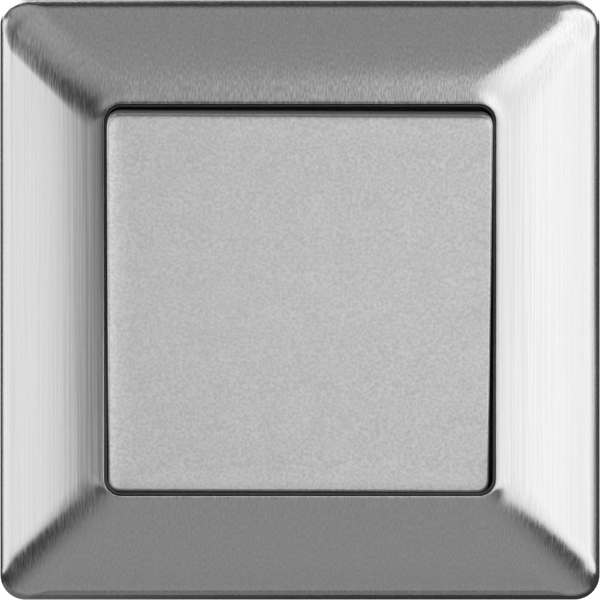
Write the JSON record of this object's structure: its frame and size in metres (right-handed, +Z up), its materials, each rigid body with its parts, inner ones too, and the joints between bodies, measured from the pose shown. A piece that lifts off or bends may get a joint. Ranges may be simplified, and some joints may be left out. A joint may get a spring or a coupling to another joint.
{
  "type": "rocker wall switch",
  "caption": "Flush wall switch: a large square rocker in a brushed steel cover frame, with its changeover mechanism, support yoke, claws and push-in terminals behind.",
  "frame": {"origin": "centre of the wall box opening, on the wall's surface, where the yoke's rear face rests", "axes": "+X to the right seen from the front, +Z up, +Y into the wall; the rocker faces -Y"},
  "size_m": [0.086, 0.0386, 0.086],
  "materials": {
    "brushed_steel_skin": "stainless sheet with a fine vertical brushed grain, satin",
    "black_plastic": "moulded, fine texture",
    "silver_painted_plastic": "aluminium-coloured paint with a very fine metallic speckle, satin",
    "white_plastic": "moulded, satin",
    "grey_plastic": "moulded thermoset, fine texture",
    "orange_plastic": "moulded, satin",
    "zinc_plated_steel": "pressed steel with bright zinc plating",
    "spring_steel": "stainless spring steel, smooth",
    "brass": "rolled and stamped, bright",
    "contact_silver": "silver alloy contact rivets, satin"
  },
  "bodies": {
    "root": {"cover_frame": "brushed_steel_skin", "frame_carrier": "black_plastic", "support_yoke": "zinc_plated_steel", "housing_lid": "white_plastic", "housing_base": "grey_plastic", "housing_screw_upper_right": "zinc_plated_steel", "housing_screw_upper_left": "zinc_plated_steel", "housing_screw_lower_left": "zinc_plated_steel", "housing_screw_lower_right": "zinc_plated_steel", "common_strip": "brass", "upper_contact_strip": "brass", "lower_contact_strip": "brass", "upper_fixed_tip": "contact_silver", "lower_fixed_tip": "contact_silver", "common_clamp_spring": "spring_steel", "upper_clamp_spring": "spring_steel", "lower_clamp_spring": "spring_steel"},
    "rocker_assembly": {"rocker": "silver_painted_plastic", "rocker_cradle": "white_plastic", "plunger_spring": "spring_steel"},
    "plunger_body": {"plunger": "grey_plastic"},
    "blade_assembly": {"contact_blade": "brass", "upper_moving_tip": "contact_silver", "lower_moving_tip": "contact_silver"},
    "common_lever_body": {"common_release_lever": "orange_plastic"},
    "upper_lever_body": {"upper_release_lever": "orange_plastic"},
    "lower_lever_body": {"lower_release_lever": "orange_plastic"},
    "right_screw_body": {"right_claw_screw": "zinc_plated_steel"},
    "right_claw_body": {"right_claw": "zinc_plated_steel"},
    "left_screw_body": {"left_claw_screw": "zinc_plated_steel"},
    "left_claw_body": {"left_claw": "zinc_plated_steel"}
  },
  "joints": [
    {"name": "rocker_tilt", "type": "hinge", "parent": "root", "child": "rocker_assembly", "pos_m": [0, -0.0022, 0], "axis": [-1, 0, 0], "range_deg": [0, 9]},
    {"name": "blade_rock", "type": "hinge", "parent": "root", "child": "blade_assembly", "pos_m": [0, 0.01, 0], "axis": [1, 0, 0], "range_deg": [0, 14]},
    {"name": "plunger_slide", "type": "slide", "parent": "rocker_assembly", "child": "plunger_body", "axis": [0, -0.9969, -0.0785], "range_m": [0, 0.0008], "stiffness_N_per_m": 400, "springref_m": -0.001, "deforming": ["plunger_spring"]},
    {"name": "common_lever_press", "type": "slide", "parent": "root", "child": "common_lever_body", "axis": [0, -1, 0], "range_m": [0, 0.0015], "stiffness_N_per_m": 500, "springref_m": -0.0005},
    {"name": "upper_lever_press", "type": "slide", "parent": "root", "child": "upper_lever_body", "axis": [0, -1, 0], "range_m": [0, 0.0015], "stiffness_N_per_m": 500, "springref_m": -0.0005},
    {"name": "lower_lever_press", "type": "slide", "parent": "root", "child": "lower_lever_body", "axis": [0, -1, 0], "range_m": [0, 0.0015], "stiffness_N_per_m": 500, "springref_m": -0.0005},
    {"name": "right_screw_turn", "type": "hinge", "parent": "root", "child": "right_screw_body", "pos_m": [0.0245, 0, 0], "axis": [0, 1, 0], "range_deg": [0, 1440]},
    {"name": "right_claw_swing", "type": "hinge", "parent": "root", "child": "right_claw_body", "pos_m": [0.0213, 0.006, 0], "axis": [0, 0, -1], "range_deg": [0, 25]},
    {"name": "left_screw_turn", "type": "hinge", "parent": "root", "child": "left_screw_body", "pos_m": [-0.0245, 0, 0], "axis": [0, 1, 0], "range_deg": [0, 1440]},
    {"name": "left_claw_swing", "type": "hinge", "parent": "root", "child": "left_claw_body", "pos_m": [-0.0213, 0.006, 0], "axis": [0, 0, 1], "range_deg": [0, 25]}
  ],
  "couplings": [
    {"joint": "blade_rock", "follows": "rocker_tilt", "ratio": 1.5556},
    {"joint": "right_claw_swing", "follows": "right_screw_turn", "ratio": 0.017361},
    {"joint": "left_claw_swing", "follows": "left_screw_turn", "ratio": 0.017361}
  ]
}
